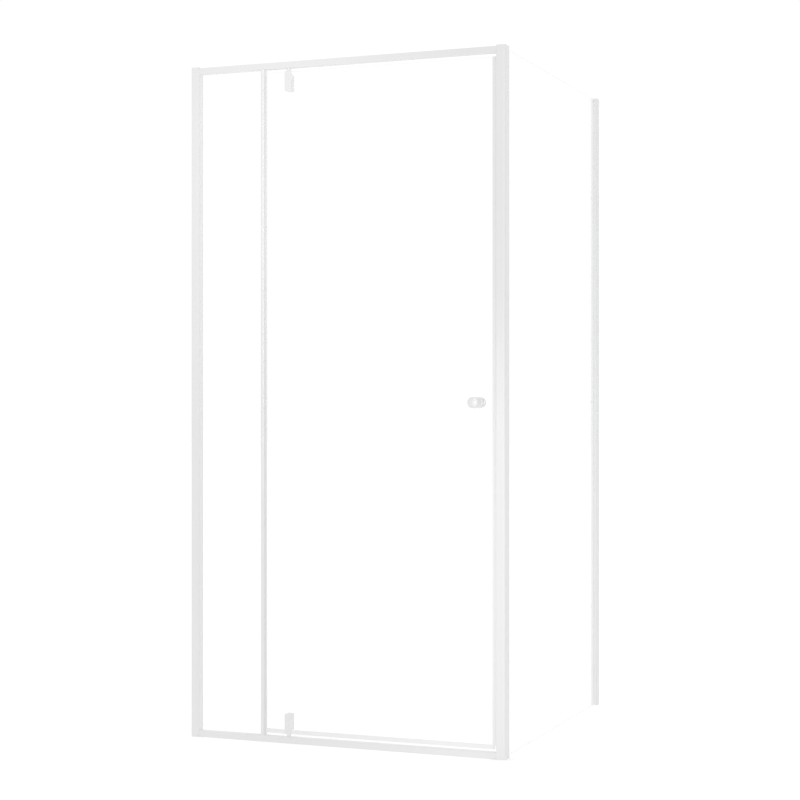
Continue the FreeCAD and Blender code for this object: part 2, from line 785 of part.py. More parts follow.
def knob_outer():
    """A turned knob: a plain drum on the glass with a low crowned face and an eased rim."""
    side = math.pi / 2
    rim_offset = knob_crown_radius - knob_rim_round
    crown_edge = math.asin((knob_radius - knob_rim_round) / rim_offset)
    crown_centre = FreeCAD.Vector(0, knob_front + knob_crown_radius, 0)
    rim_centre = crown_centre + knob_spoke(crown_edge) * rim_offset
    foot_round_centre = FreeCAD.Vector(knob_radius - knob_foot_round, knob_base - knob_foot_round, 0)
    face_middle = crown_centre + knob_spoke(0) * knob_crown_radius
    face_half = crown_centre + knob_spoke(crown_edge / 2) * knob_crown_radius
    rim_start = crown_centre + knob_spoke(crown_edge) * knob_crown_radius
    rim_half = rim_centre + knob_spoke((crown_edge + side) / 2) * knob_rim_round
    rim_end = rim_centre + knob_spoke(side) * knob_rim_round
    foot_start = foot_round_centre + knob_spoke(side) * knob_foot_round
    foot_half = foot_round_centre + knob_spoke(side * 3 / 2) * knob_foot_round
    foot_end = foot_round_centre + knob_spoke(side * 2) * knob_foot_round
    foot_middle = FreeCAD.Vector(0, knob_base, 0)
    edges = [Part.Arc(face_middle, face_half, rim_start).toShape()]
    edges += [Part.Arc(rim_start, rim_half, rim_end).toShape(), Part.makeLine(rim_end, foot_start)]
    edges += [Part.Arc(foot_start, foot_half, foot_end).toShape(), Part.makeLine(foot_end, foot_middle)]
    edges += [Part.makeLine(foot_middle, face_middle)]
    knob = Part.Face(Part.Wire(edges)).revolve(ground, y_axis, 360)
    knob.translate(FreeCAD.Vector(knob_x, 0, mid_height))
    bore_start = (knob_x, knob_base - knob_stud_grip, mid_height)
    return knob.cut(rod(bore_start, y_axis, knob_stud_radius + screw_clearance, knob_stud_grip))


def knob_stud():
    """The threaded stud that draws the two knobs together through the glass."""
    start = knob_base - knob_stud_grip
    length = 2 * (door_plane - start)
    return rod((knob_x, start, mid_height), y_axis, knob_stud_radius, length)


def ring(start_y, radius, thickness):
    """A ring round the knob's stud."""
    start = (knob_x, start_y, mid_height)
    outer = rod(start, y_axis, radius, thickness)
    return outer.cut(rod(start, y_axis, knob_stud_radius + screw_clearance, thickness))


def knob_washers():
    """Clear washers between the knobs and the glass."""
    front = ring(knob_base, knob_washer_radius, knob_washer_thickness)
    back = ring(door_plane + half_glass, knob_washer_radius, knob_washer_thickness)
    return group([front, back])


def knob_sleeve():
    """The sleeve that keeps the stud off the glass."""
    return ring(door_plane - half_glass, knob_glass_hole_radius - screw_clearance, glass_thickness)


def inward(shape):
    """The same piece on the inner face of the leaf."""
    return shape.mirror(FreeCAD.Vector(0, door_plane, 0), y_axis)


# Every piece by name
jamb_pocket = (jamb_face - jamb_pocket_depth, jamb_face)
mullion_pocket = (mullion_offset + mullion_pocket_depth, mullion_offset)
inline_y = (door_plane - half_glass, door_plane + half_glass)
pieces = {
    "front_wall_channel": wall_channel(front_profile_depth),
    "front_jamb": front_jamb(),
    "front_channel_cap": wall_cap(front_profile_depth),
    "front_lock_screws": lock_screws(front_profile_depth),
    "front_screw_caps": screw_caps(front_profile_depth),
    "top_rail": other_end(bottom_rail()),
    "bottom_rail": bottom_rail(),
    "rail_screws_jamb": rail_screws_at_jamb(),
    "rail_screws_post": rail_screws_at_post(),
    "top_infill": other_end(bottom_infill()),
    "bottom_infill": bottom_infill(),
    "top_pivot_bush": other_end(bottom_bush()),
    "bottom_pivot_bush": bottom_bush(),
    "inline_glass": glass_pane((inline_left, inline_right), inline_y, (inline_bottom, inline_top)),
    "inline_gasket_jamb": channel_gasket(jamb_pocket, door_plane, on_plan, z_axis, inline_bottom, inline_top),
    "inline_gasket_top": other_end(inline_bottom_gasket()),
    "inline_gasket_bottom": inline_bottom_gasket(),
    "inline_gasket_mullion": channel_gasket(
        mullion_pocket, door_plane, on_plan, z_axis, rail_height, rail_under
    ),
    "mullion": mullion(),
    "mullion_screws": mullion_screws(),
    "mullion_seal": mullion_seal(),
    "corner_post": corner_post(),
    "post_cap": post_cap(),
    "post_strike_seal": post_strike_seal(),
    "post_strike_magnet": strike_magnet(),
    "side_glass": side_glass(),
    "side_gasket_post": side_post_gasket(),
    "side_gasket_wall": side_wall_gasket(),
    "side_setting_blocks": side_setting_blocks(),
    "side_jamb": at_side_wall(wall_jamb(side_profile_depth)),
    "side_wall_channel": at_side_wall(wall_channel(side_profile_depth)),
    "side_channel_cap": at_side_wall(wall_cap(side_profile_depth)),
    "side_lock_screws": at_side_wall(lock_screws(side_profile_depth)),
    "side_screw_caps": at_side_wall(screw_caps(side_profile_depth)),
    "door_glass": door_glass(),
    "door_drip_seal": door_drip_seal(),
    "door_edge_seal": door_edge_seal(),
    "door_edge_magnet": door_edge_magnet(),
    "top_hinge_body": hinge_body(),
    "top_hinge_plate": hinge_plate(),
    "top_hinge_gaskets": hinge_gaskets(),
    "top_hinge_screws": hinge_screws(),
    "top_pivot_pin": pivot_pin(),
    "bottom_hinge_body": other_end(hinge_body()),
    "bottom_hinge_plate": other_end(hinge_plate()),
    "bottom_hinge_gaskets": other_end(hinge_gaskets()),
    "bottom_hinge_screws": other_end(hinge_screws()),
    "bottom_pivot_pin": other_end(pivot_pin()),
    "knob_outer": knob_outer(),
    "knob_inner": inward(knob_outer()),
    "knob_stud": knob_stud(),
    "knob_washers": knob_washers(),
    "knob_sleeve": knob_sleeve(),
}

# The origin lies on the floor, under the middle of the box round the whole set
to_origin = FreeCAD.Vector(-overall_width / 2, -(overall_depth + knob_front) / 2, 0)
os.makedirs("parts", exist_ok=True)
for name, shape in pieces.items():
    shape.translate(to_origin)
    if not shape.isValid():
        raise ValueError(name + " is not a valid shape")
    shape.exportStep(os.path.join("parts", name + ".step"))
    print(name, len(shape.Solids), "solids", round(shape.Volume), "mm3")
pivot_line = FreeCAD.Vector(pivot_x, door_plane, 0) + to_origin
print("pivot line at", pivot_line.x, pivot_line.y)
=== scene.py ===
import json
import math

import bmesh
import bpy
from mathutils import Matrix, Vector


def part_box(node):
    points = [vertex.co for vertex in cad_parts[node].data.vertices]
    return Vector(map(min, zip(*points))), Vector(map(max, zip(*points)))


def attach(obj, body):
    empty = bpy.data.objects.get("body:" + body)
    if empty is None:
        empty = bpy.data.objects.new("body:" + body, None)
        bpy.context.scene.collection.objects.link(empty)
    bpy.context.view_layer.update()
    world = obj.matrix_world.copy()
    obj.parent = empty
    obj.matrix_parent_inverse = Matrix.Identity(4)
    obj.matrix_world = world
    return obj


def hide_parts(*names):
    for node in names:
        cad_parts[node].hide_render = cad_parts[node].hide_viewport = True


# White framed shower front: a fixed pane, a pivot door and a return pane, dressed for a studio picture.
# Metres, in the frame of the loaded part: X runs right along the front, Y runs inward and Z runs up.
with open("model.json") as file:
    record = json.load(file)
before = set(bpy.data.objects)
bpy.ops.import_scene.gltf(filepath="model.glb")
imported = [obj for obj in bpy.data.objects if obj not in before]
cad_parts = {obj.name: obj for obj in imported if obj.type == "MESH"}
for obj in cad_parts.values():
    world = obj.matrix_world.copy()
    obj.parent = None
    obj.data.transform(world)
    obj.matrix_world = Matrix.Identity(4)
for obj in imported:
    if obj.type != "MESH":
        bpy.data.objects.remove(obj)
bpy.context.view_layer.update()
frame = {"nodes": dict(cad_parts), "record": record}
nodes = frame["nodes"]
subparts = frame["record"]["subparts"]
MM = 0.001
PLAIN = (1, 1, 1)
WHITE = (1, 1, 1, 1)


# Finishes: two close tones, a drifting roughness and a fine relief, each on its own grain.
# A grain is a scale and a detail, with a stretch where it is drawn out along an axis.
drift_start_share = 0.3
drift_end_share = 0.7
along_x = (0.01, 1, 1)
along_z = (1, 1, 0.01)
round_shank = (1, 1, 0.2)
white_tones = ((0.745, 0.745, 0.747), (0.76, 0.76, 0.76))
milky_tones = ((0.77, 0.775, 0.775), (0.79, 0.79, 0.79))
cloudy_tones = ((0.79, 0.795, 0.795), (0.81, 0.81, 0.81))
clear_tones = ((0.88, 0.89, 0.89), (0.92, 0.925, 0.925))
smoky_tones = ((0.722, 0.727, 0.727), (0.745, 0.745, 0.745))


def start_finish(name):
    """A fresh node material with its shader and the piece's own coordinates."""
    finish = bpy.data.materials.new(name)
    finish.use_nodes = True
    tree = finish.node_tree
    shader = tree.nodes["Principled BSDF"]
    place = tree.nodes.new("ShaderNodeTexCoord")
    return finish, tree, shader, place


def grain(tree, place, scale, detail, stretch=PLAIN):
    """Noise on the piece's own coordinates, drawn out along an axis where stretch is small."""
    mapping = tree.nodes.new("ShaderNodeMapping")
    mapping.inputs["Scale"].default_value = stretch
    noise = tree.nodes.new("ShaderNodeTexNoise")
    noise.inputs["Scale"].default_value = scale
    noise.inputs["Detail"].default_value = detail
    tree.links.new(place.outputs["Object"], mapping.inputs["Vector"])
    tree.links.new(mapping.outputs["Vector"], noise.inputs["Vector"])
    return noise.outputs["Fac"]


def tone(tree, fac, dark, light):
    """A colour that drifts between two close tones."""
    ramp = tree.nodes.new("ShaderNodeValToRGB")
    ramp.color_ramp.elements[0].position = drift_start_share
    ramp.color_ramp.elements[0].color = (*dark, 1)
    ramp.color_ramp.elements[1].position = drift_end_share
    ramp.color_ramp.elements[1].color = (*light, 1)
    tree.links.new(fac, ramp.inputs["Fac"])
    return ramp.outputs["Color"]


def spread(tree, fac, low, high):
    """A number that drifts between low and high."""
    span = tree.nodes.new("ShaderNodeMapRange")
    span.inputs["From Min"].default_value = drift_start_share
    span.inputs["From Max"].default_value = drift_end_share
    span.inputs["To Min"].default_value = low
    span.inputs["To Max"].default_value = high
    tree.links.new(fac, span.inputs["Value"])
    return span.outputs["Result"]


def relief(tree, shader, fac, strength, depth):
    """Fine surface relief."""
    bump = tree.nodes.new("ShaderNodeBump")
    bump.inputs["Strength"].default_value = strength
    bump.inputs["Distance"].default_value = depth
    tree.links.new(fac, bump.inputs["Height"])
    tree.links.new(bump.outputs["Normal"], shader.inputs["Normal"])


def coated(name, tones, tone_grain, roughness, gloss_grain, relief_grain, strength, depth, settings=()):
    """A finish with two tones, a roughness and a relief; settings are further pairs of socket and value."""
    finish, tree, shader, place = start_finish(name)
    colour = tone(tree, grain(tree, place, *tone_grain), *tones)
    tree.links.new(colour, shader.inputs["Base Color"])
    gloss = spread(tree, grain(tree, place, *gloss_grain), *roughness)
    tree.links.new(gloss, shader.inputs["Roughness"])
    relief(tree, shader, grain(tree, place, *relief_grain), strength, depth)
    for socket, value in settings:
        shader.inputs[socket].default_value = value
    return finish


def powder_coat(name, roughness, peel_strength):
    """White powder coat: a soft gloss over fine orange peel."""
    return coated(
        name,
        tones=white_tones,
        tone_grain=(5.0, 2.0),
        roughness=roughness,
        gloss_grain=(90.0, 3.0),
        relief_grain=(700.0, 1.0),
        strength=peel_strength,
        depth=0.2 * MM,
    )


def satin_enamel():
    """Baked enamel on the castings, smoother than the powder coat."""
    return coated(
        "white_satin_enamel",
        tones=white_tones,
        tone_grain=(40.0, 2.0),
        roughness=(0.2, 0.3),
        gloss_grain=(260.0, 3.0),
        relief_grain=(420.0, 1.0),
        strength=0.04,
        depth=0.05 * MM,
        settings=[("Coat Weight", 0.2), ("Coat Roughness", 0.25)],
    )


def turned_lacquer():
    """Silky lacquer on the turned knobs."""
    return coated(
        "white_turned_lacquer",
        tones=((0.722, 0.722, 0.724), (0.737, 0.737, 0.737)),
        tone_grain=(50.0, 2.0),
        roughness=(0.22, 0.28),
        gloss_grain=(900.0, 2.0),
        relief_grain=(900.0, 2.0),
        strength=0.03,
        depth=0.05 * MM,
    )


def moulded_plastic():
    """Moulded white plastic with a fine spark-eroded texture."""
    return coated(
        "white_moulded_plastic",
        tones=((0.745, 0.745, 0.74), (0.76, 0.76, 0.755)),
        tone_grain=(30.0, 2.0),
        roughness=(0.4, 0.52),
        gloss_grain=(1600.0, 2.0),
        relief_grain=(1600.0, 2.0),
        strength=0.15,
        depth=0.1 * MM,
    )


def seal_pvc(name, tones, opacity, stretch):
    """Extruded seal strip, with faint draw lines along its length."""
    return coated(
        name,
        tones=tones,
        tone_grain=(60.0, 3.0),
        roughness=(0.4, 0.5),
        gloss_grain=(1500.0, 2.0, stretch),
        relief_grain=(1500.0, 2.0, stretch),
        strength=0.02,
        depth=0.05 * MM,
        settings=[("Alpha", opacity)],
    )


def glazing_rubber_and_slot_shade():
    """Pale glazing gasket, matt, toned down to a painted shade that stands for the shade inside the glazing
    slots.
    """
    return coated(
        "glazing_rubber_painted_slot_shade",
        tones=((0.765, 0.77, 0.77), (0.785, 0.785, 0.785)),
        tone_grain=(80.0, 3.0),
        roughness=(0.5, 0.68),
        gloss_grain=(1800.0, 2.0),
        relief_grain=(1800.0, 2.0),
        strength=0.1,
        depth=0.1 * MM,
    )


def natural_nylon():
    """Natural nylon, faintly waxy."""
    return coated(
        "natural_nylon",
        tones=((0.76, 0.755, 0.73), (0.79, 0.785, 0.765)),
        tone_grain=(120.0, 3.0),
        roughness=(0.38, 0.5),
        gloss_grain=(1500.0, 2.0),
        relief_grain=(1500.0, 2.0),
        strength=0.1,
        depth=0.1 * MM,
    )


def magnet_strip():
    """Bonded magnet strip in a pale sheath, slightly speckled."""
    return coated(
        "pale_magnet_strip",
        tones=((0.62, 0.62, 0.61), (0.72, 0.72, 0.71)),
        tone_grain=(2200.0, 2.0),
        roughness=(0.45, 0.6),
        gloss_grain=(2200.0, 2.0),
        relief_grain=(2200.0, 2.0),
        strength=0.15,
        depth=0.1 * MM,
    )


def stainless():
    """Bright stainless steel with fine turning marks."""
    return coated(
        "stainless_steel",
        tones=((0.7, 0.7, 0.71), (0.78, 0.78, 0.79)),
        tone_grain=(150.0, 2.0),
        roughness=(0.2, 0.36),
        gloss_grain=(1200.0, 2.0, round_shank),
        relief_grain=(1200.0, 2.0, round_shank),
        strength=0.08,
        depth=0.1 * MM,
        settings=[("Metallic", 1.0)],
    )


# Glass: clear faces that mirror a little, more where seen aslant, and ground edges with a pale frost
pane_tint = (0.988, 0.994, 0.991, 1)
haze_grain = (7.0, 4.0)
haze_roughness = (0.0, 0.02)
straight_mirror_share = 0.04
facing_blend = 0.5
slant_power = 5.0
edge_frost_share = 0.6
edge_tones = ((0.77, 0.81, 0.79), (0.83, 0.86, 0.845))
edge_grain = (900.0, 2.0)
edge_roughness = 0.45


def mirror_share(tree):
    """The share of light that a face mirrors, rising as it is seen more aslant."""
    tilt = tree.nodes.new("ShaderNodeLayerWeight")
    tilt.inputs["Blend"].default_value = facing_blend
    steep = tree.nodes.new("ShaderNodeMath")
    steep.operation = "POWER"
    steep.inputs[1].default_value = slant_power
    tree.links.new(tilt.outputs["Facing"], steep.inputs[0])
    share = tree.nodes.new("ShaderNodeMapRange")
    share.inputs["To Min"].default_value = straight_mirror_share
    tree.links.new(steep.outputs["Value"], share.inputs["Value"])
    return share.outputs["Result"]


def edge_share(tree, place, face_axis):
    """How much frost a point shows: none on the faces across the given axis, most on the edges."""
    facing = tree.nodes.new("ShaderNodeSeparateXYZ")
    tree.links.new(place.outputs["Normal"], facing.inputs["Vector"])
    flat = tree.nodes.new("ShaderNodeMath")
    flat.operation = "ABSOLUTE"
    tree.links.new(facing.outputs[face_axis], flat.inputs[0])
    edge = tree.nodes.new("ShaderNodeMapRange")
    edge.inputs["To Min"].default_value = edge_frost_share
    edge.inputs["To Max"].default_value = 0
    tree.links.new(flat.outputs["Value"], edge.inputs["Value"])
    return edge.outputs["Result"]


def blend(tree, share, first, second):
    """A mix of two shaders, with the given share of the second."""
    mix = tree.nodes.new("ShaderNodeMixShader")
    tree.links.new(share, mix.inputs["Fac"])
    tree.links.new(first, mix.inputs[1])
    tree.links.new(second, mix.inputs[2])
    return mix.outputs["Shader"]


def float_glass(name, face_axis):
    """Clear toughened glass whose faces look along the given axis."""
    finish, tree, ground, place = start_finish(name)
    see_through = tree.nodes.new("ShaderNodeBsdfTransparent")
    see_through.inputs["Color"].default_value = pane_tint
    mirror = tree.nodes.new("ShaderNodeBsdfGlossy")
    mirror.inputs["Color"].default_value = WHITE
    haze = spread(tree, grain(tree, place, *haze_grain), *haze_roughness)
    tree.links.new(haze, mirror.inputs["Roughness"])
    frost = tone(tree, grain(tree, place, *edge_grain), *edge_tones)
    tree.links.new(frost, ground.inputs["Base Color"])
    ground.inputs["Roughness"].default_value = edge_roughness
    face = blend(tree, mirror_share(tree), see_through.outputs["BSDF"], mirror.outputs["BSDF"])
    whole = blend(tree, edge_share(tree, place, face_axis), face, ground.outputs["BSDF"])
    tree.links.new(whole, tree.nodes["Material Output"].inputs["Surface"])
    return finish


finishes = {
    "white_frame": powder_coat("white_powder_coat", roughness=(0.3, 0.4), peel_strength=0.1),
    "white_fitting": satin_enamel(),
    "white_plastic": moulded_plastic(),
    "clear_glass": float_glass("clear_front_glass", "Y"),
    "clear_seal": seal_pvc("clear_upright_seal", smoky_tones, opacity=0.95, stretch=along_z),
    "milky_seal": seal_pvc("milky_upright_seal", milky_tones, opacity=1.0, stretch=along_z),
    "gasket": glazing_rubber_and_slot_shade(),
    "nylon": natural_nylon(),
    "magnet": magnet_strip(),
    "steel": stainless(),
}
side_glass_finish = float_glass("clear_side_glass", "X")
drip_grip_finish = seal_pvc("milky_drip_grip", cloudy_tones, opacity=1.0, stretch=along_x)
drip_lip_finish = seal_pvc("clear_drip_lip", clear_tones, opacity=0.06, stretch=along_x)
packer_finish = seal_pvc("clear_packer", clear_tones, opacity=0.1, stretch=PLAIN)
knob_finish = turned_lacquer()
mullion_finish = powder_coat("white_smooth_coat", roughness=(0.22, 0.27), peel_strength=0.01)


def dress(piece, finish):
    """Give a piece one finish, in place of whatever it came with."""
    piece.data.materials.clear()
    piece.data.materials.append(finish)


for part in subparts:
    dress(nodes[part["node"]], finishes[part["material_slot"]])
dress(nodes["side_glass"], side_glass_finish)
dress(nodes["mullion"], mullion_finish)
for packer in ("side_setting_blocks", "knob_washers"):
    dress(nodes[packer], packer_finish)


# Pieces that don't shade their surroundings, so that slots and joints stay bright as in a white studio
translucent_slots = ("clear_glass", "clear_seal", "milky_seal", "gasket")
# The wall channels cast no shade into their glazing slots; painted shade in the gasket's tone stands in for
# it.
unshading = ["front_jamb", "front_wall_channel", "side_jamb", "side_wall_channel"]
unshading += ["top_rail", "bottom_rail", "door_edge_magnet", "post_strike_magnet"]
for end in ("top", "bottom"):
    unshading += [end + kind for kind in ("_hinge_body", "_hinge_plate", "_pivot_bush", "_infill")]
unshading += [part["node"] for part in subparts if part["material_slot"] in translucent_slots]


def let_light_through(piece):
    """Keep a clear, slotted or small piece from shading what stands behind, in or beside it."""
    piece.visible_shadow = False
    piece.visible_diffuse = False


for name in unshading:
    let_light_through(nodes[name])
for pane in ("inline_glass", "door_glass", "side_glass"):
    nodes[pane].visible_glossy = False


# Helpers for new pieces
weld_distance = 0.001 * MM
sharp_angle = math.radians(35)
quarter_turn = math.radians(90)
face_inward = Matrix.Rotation(-quarter_turn, 4, "X")
face_left = Matrix.Rotation(-quarter_turn, 4, "Y")
upside_down = Matrix.Rotation(2 * quarter_turn, 4, "X")
upright = Matrix.Identity(4)


def finish_piece(name, shape, body, slot, finish, *stands_for):
    """Turn a modelled shape into a piece that rides on a body in place of the named nodes."""
    bmesh.ops.remove_doubles(shape, verts=shape.verts, dist=weld_distance)
    bmesh.ops.recalc_face_normals(shape, faces=shape.faces)
    mesh = bpy.data.meshes.new(name)
    shape.to_mesh(mesh)
    shape.free()
    mesh.shade_smooth()
    mesh.set_sharp_from_angle(angle=sharp_angle)
    piece = bpy.data.objects.new(name, mesh)
    bpy.context.scene.collection.objects.link(piece)
    dress(piece, finish)
    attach(piece, body)
    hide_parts(*stands_for)
    if slot in translucent_slots:
        let_light_through(piece)
    return piece


def ring(shape, count, radius, height):
    """The edges of a circle round the Z axis."""
    level = Matrix.Translation((0, 0, height))
    made = bmesh.ops.create_circle(shape, cap_ends=False, segments=count, radius=radius, matrix=level)
    return list({edge for vert in made["verts"] for edge in vert.link_edges})


def stack(shape, rings):
    """Walls between each ring and the next, with the first and last one closed."""
    for lower, upper in zip(rings, rings[1:]):
        bmesh.ops.bridge_loops(shape, edges=lower + upper)
    for end in (rings[0], rings[-1]):
        bmesh.ops.contextual_create(shape, geom=end)


def put(target, source, turn, place):
    """Copy a small shape into a larger one, turned and moved to its place."""
    small = bpy.data.meshes.new("small_shape")
    source.to_mesh(small)
    small.transform(Matrix.Translation(place) @ turn)
    target.from_mesh(small)
    bpy.data.meshes.remove(small)


def round_edges(shape, edges, radius, steps):
    """Round a set of edges."""
    bmesh.ops.bevel(
        shape,
        geom=edges,
        offset=radius,
        offset_type="OFFSET",
        segments=steps,
        profile=0.5,
        affect="EDGES",
        material=-1,
    )


# Knobs, turned on a lathe: a low crowned face, an eased rim, a straight drum and an eased foot
crown_radius = 80.0 * MM
rim_round = 1.2 * MM
foot_round = 0.5 * MM
crown_steps = 10
rim_steps = 6
foot_steps = 4
lathe_steps = 96


def swing_point(shape, point, centre, angle, steps):
    """Carry a point round a centre in the YZ plane, leaving an arc behind it, and return its end."""
    swept = bmesh.ops.spin(shape, geom=[point], cent=centre, axis=(1, 0, 0), angle=angle, steps=steps)
    return next(item for item in swept["geom_last"] if isinstance(item, bmesh.types.BMVert))


def draw_line(shape, point, step):
    """Carry a point along a straight line and return its end."""
    made = bmesh.ops.extrude_vert_indiv(shape, verts=[point])
    bmesh.ops.translate(shape, verts=made["verts"], vec=step)
    return made["verts"][0]


def turned_knob(name, node, outward):
    """A knob whose face looks along Y, backwards where outward is -1."""
    low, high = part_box(node)
    middle = (low + high) / 2
    radius = (high.x - low.x) / 2
    face, foot = (low.y, high.y) if outward < 0 else (high.y, low.y)
    inner = radius - rim_round
    crown_turn = math.asin(inner / (crown_radius - rim_round))
    rim_depth = crown_radius - math.sqrt((crown_radius - rim_round) ** 2 - inner ** 2)
    rim_place = face - outward * rim_depth
    foot_place = foot + outward * foot_round
    shape = bmesh.new()
    point = shape.verts.new((middle.x, face, middle.z))
    crown_middle = (middle.x, face - outward * crown_radius, middle.z)
    point = swing_point(shape, point, crown_middle, outward * crown_turn, crown_steps)
    rim_middle = (middle.x, rim_place, middle.z + inner)
    point = swing_point(shape, point, rim_middle, outward * (quarter_turn - crown_turn), rim_steps)
    point = draw_line(shape, point, (0, foot_place - rim_place, 0))
    foot_middle = (middle.x, foot_place, middle.z + radius - foot_round)
    point = swing_point(shape, point, foot_middle, outward * quarter_turn, foot_steps)
    draw_line(shape, point, (0, 0, foot_round - radius))
    bmesh.ops.spin(
        shape,
        geom=shape.verts[:] + shape.edges[:],
        cent=middle,
        axis=(0, 1, 0),
        angle=2 * math.pi,
        steps=lathe_steps,
        use_merge=True,
    )
    knob = finish_piece(name, shape, "door", "white_fitting", knob_finish, node)
    let_light_through(knob)


turned_knob("outer_knob", "knob_outer", -1)
turned_knob("inner_knob", "knob_inner", 1)


# Socket screws of the hinges
socket_width = 3.0 * MM
socket_depth = 1.8 * MM
screw_edge = 0.4 * MM
hinge_screw_radius = 2.0 * MM
hinge_head_height = 3.5 * MM
hex_sides = 6
round_sides = 48


def socket_screw(head_radius, length):
    """A socket-head screw along Z, with the face of its head at zero and its shank below."""
    shape = bmesh.new()
    socket_radius = socket_width / 2 / math.cos(math.pi / hex_sides)
    rings = [
        ring(shape, round_sides, hinge_screw_radius, -length),
        ring(shape, round_sides, hinge_screw_radius, -hinge_head_height),
        ring(shape, round_sides, head_radius, -hinge_head_height),
        ring(shape, round_sides, head_radius, -screw_edge),
        ring(shape, round_sides, head_radius - screw_edge, 0),
        ring(shape, hex_sides, socket_radius, 0),
        ring(shape, hex_sides, socket_radius, -socket_depth),
    ]
    stack(shape, rings)
    return shape


def hinge_screws(end):
    """Two screws, one above the other, in the inner plate of one hinge."""
    node = end + "_hinge_screws"
    low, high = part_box(node)
    head_radius = (high.x - low.x) / 2
    screw = socket_screw(head_radius, high.y - low.y)
    screws = bmesh.new()
    for height in (low.z + head_radius, high.z - head_radius):
        put(screws, screw, face_inward, ((low.x + high.x) / 2, high.y, height))
    screw.free()
    finish_piece(end + "_socket_screws", screws, "door", "steel", finishes["steel"], node)


hinge_screws("top")
hinge_screws("bottom")


# Cross-head screws that hold the mullion between the rails
cross_tips = 4
cross_reach = 1.4 * MM
cross_waist_share = 0.35
cross_floor_share = 0.5
cross_depth = 1.1 * MM
mullion_shank_radius = 1.2 * MM
mullion_head_height = 1.8 * MM
mullion_screw_bite = 12.0 * MM


def cross_ring(shape, reach, height):
    """A four-pointed star, for the recess of a cross-head screw."""
    edges = ring(shape, 2 * cross_tips, reach, height)
    for vert in {vert for edge in edges for vert in edge.verts}:
        turn = math.atan2(vert.co.y, vert.co.x) * cross_tips / math.pi
        if round(turn) % 2:
            vert.co.x *= cross_waist_share
            vert.co.y *= cross_waist_share
    return edges


def cross_screw(head_radius, length):
    """A cross-head screw along Z, with the face of its head at zero and its shank below."""
    shape = bmesh.new()
    rings = [
        ring(shape, round_sides, mullion_shank_radius, -length),
        ring(shape, round_sides, mullion_shank_radius, -mullion_head_height),
        ring(shape, round_sides, head_radius, -mullion_head_height),
        ring(shape, round_sides, head_radius, -screw_edge),
        ring(shape, round_sides, head_radius - screw_edge, 0),
        cross_ring(shape, cross_reach, 0),
        cross_ring(shape, cross_reach * cross_floor_share, -cross_depth),
    ]
    stack(shape, rings)
    return shape


def mullion_screws():
    """Two screws down through the top rail and two up through the sill, into the mullion's ends."""
    low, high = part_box("mullion_screws")
    head_radius = (high.x - low.x) / 2
    middle = (low.x + high.x) / 2
    rail_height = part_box("bottom_rail")[1].z
    screw = cross_screw(head_radius, rail_height + mullion_screw_bite)
    screws = bmesh.new()
    for depth in (low.y + head_radius, high.y - head_radius):
        put(screws, screw, upright, (middle, depth, high.z))
        put(screws, screw, upside_down, (middle, depth, low.z))
    screw.free()
    finish_piece("mullion_cross_screws", screws, "frame", "steel", finishes["steel"], "mullion_screws")


mullion_screws()


# Press-on covers of the lock screws
cover_wall = 1.1 * MM
cover_rim_round = 1.6 * MM
cover_round_steps = 8
level_tolerance = 0.01 * MM


def screw_cover(radius, height):
    """A low domed cover along Z with a hollow under it for the screw's head."""
    shape = bmesh.new()
    rings = [
        ring(shape, round_sides, radius - cover_wall, height - cover_wall),
        ring(shape, round_sides, radius - cover_wall, 0),
        ring(shape, round_sides, radius, 0),
        ring(shape, round_sides, radius, height),
    ]
    stack(shape, rings)
    top = {vert for vert in shape.verts if abs(vert.co.z - height) < level_tolerance}
    rim = [edge for edge in shape.edges if top.issuperset(edge.verts)]
    round_edges(shape, rim, cover_rim_round, cover_round_steps)
    return shape


def screw_covers(node, across, turn):
    """Three covers in a column on the inner leg of a wall channel; across is the axis along that leg."""
    low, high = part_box(node)
    middle = (low + high) / 2
    radius = (high[across] - low[across]) / 2
    outward = 1 - across
    height = high[outward] - low[outward]
    cover = screw_cover(radius, height)
    covers = bmesh.new()
    for level in (low.z + radius, middle.z, high.z - radius):
        seat = Vector((middle.x, middle.y, level))
        seat[outward] = low[outward] if outward == 1 else high[outward]
        put(covers, cover, turn, seat)
    cover.free()
    name = node.replace("caps", "covers")
    finish_piece(name, covers, "frame", "white_plastic", finishes["white_plastic"], node)


screw_covers("front_screw_caps", 0, face_inward)
screw_covers("side_screw_caps", 1, face_left)


# Drip seal under the leaf: a milky grip on the glass with a clear blade and a clear fin below it
seal_wall = 1.2 * MM
seal_edge_round = 0.3 * MM
seal_round_steps = 3
seal_end_gap = 0.7 * MM
blade_thickness = 1.0 * MM
blade_tip_share = 0.5
fin_thickness = 0.9 * MM
fin_turn = math.radians(48)
fin_steps = 10
least_long_edge = 1.0 * MM


def drip_spans():
    """The two stretches of the seal, either side of the bottom hinge."""
    low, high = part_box("door_drip_seal")
    hinge_low, hinge_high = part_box("bottom_hinge_body")
    return ((low.x, hinge_low.x - seal_end_gap), (hinge_high.x + seal_end_gap, high.x))


def push(shape, made, length):
    """Move the new vertices of an extrusion along X."""
    moved = [item for item in made["geom"] if isinstance(item, bmesh.types.BMVert)]
    bmesh.ops.translate(shape, verts=moved, vec=(length, 0, 0))


def outline_bar(shape, outline, start, end):
    """A closed outline of (y, z) points pushed along X, with its long edges rounded."""
    corners = [shape.verts.new((start, y, z)) for y, z in outline]
    face = shape.faces.new(corners)
    made = bmesh.ops.extrude_face_region(shape, geom=[face], use_keep_orig=True)
    push(shape, made, end - start)
    long_edges = [edge for vert in corners for edge in vert.link_edges
                  if abs(edge.verts[0].co.x - edge.verts[1].co.x) > least_long_edge]
    round_edges(shape, long_edges, seal_edge_round, seal_round_steps)


